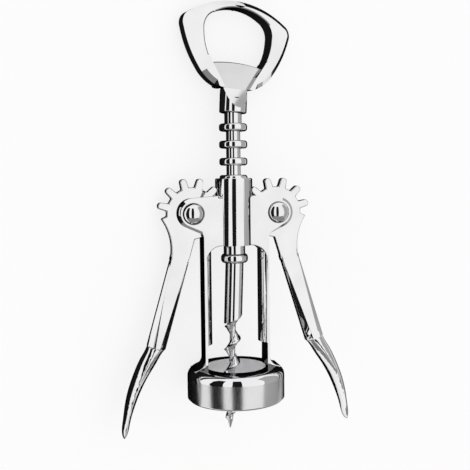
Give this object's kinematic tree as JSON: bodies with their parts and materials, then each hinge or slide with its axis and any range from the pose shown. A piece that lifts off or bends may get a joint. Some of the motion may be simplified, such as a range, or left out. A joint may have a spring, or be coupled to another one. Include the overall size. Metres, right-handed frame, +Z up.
{
  "type": "corkscrew",
  "caption": "Chrome wing corkscrew with two geared levers, a ringed rack spindle, an open bottle collar and a flat handle that lifts crown caps.",
  "frame": {"origin": "on the floor under the middle of the lying corkscrew's bounding box", "axes": "+Z up from the floor; +Y along the corkscrew towards the handle, seen from above; +X to the right of the front, which faces up"},
  "size_m": [0.0906, 0.17, 0.0397],
  "materials": {
    "casting": "polished",
    "spindle": "polished",
    "rivet": "polished"
  },
  "bodies": {
    "frame": {"frame_casting": "casting", "pivot_rivet_left": "rivet", "pivot_rivet_right": "rivet"},
    "carriage": {"stop_ferrule": "spindle"},
    "spindle": {"rack_spindle": "spindle", "opener_handle": "casting", "worm": "spindle"},
    "lever_left": {"wing_left": "casting"},
    "lever_right": {"wing_right": "casting"}
  },
  "joints": [
    {"name": "lever_right_raise", "type": "hinge", "parent": "frame", "child": "lever_right", "pos_m": [0.01549, 0.00373, 0.01692], "axis": [-0.2756, 0.1054, 0.9555], "range_deg": [-4.4, 134.2]},
    {"name": "lever_left_raise", "type": "hinge", "parent": "frame", "child": "lever_left", "pos_m": [-0.01719, 0.0027, 0.00761], "axis": [0.2756, -0.1054, -0.9555], "range_deg": [-4.5, 134.5]},
    {"name": "rack_slide", "type": "slide", "parent": "frame", "child": "carriage", "axis": [0, -0.994, 0.1096], "range_m": [-0.001, 0.03]},
    {"name": "spindle_turn", "type": "hinge", "parent": "carriage", "child": "spindle", "pos_m": [-0.00085, -0.01661, 0.01445], "axis": [0, 0.994, -0.1096], "continuous": true}
  ],
  "couplings": [
    {"joint": "lever_left_raise", "follows": "lever_right_raise", "ratio": 1},
    {"joint": "rack_slide", "follows": "lever_right_raise", "m_per_rad": 0.012796}
  ]
}
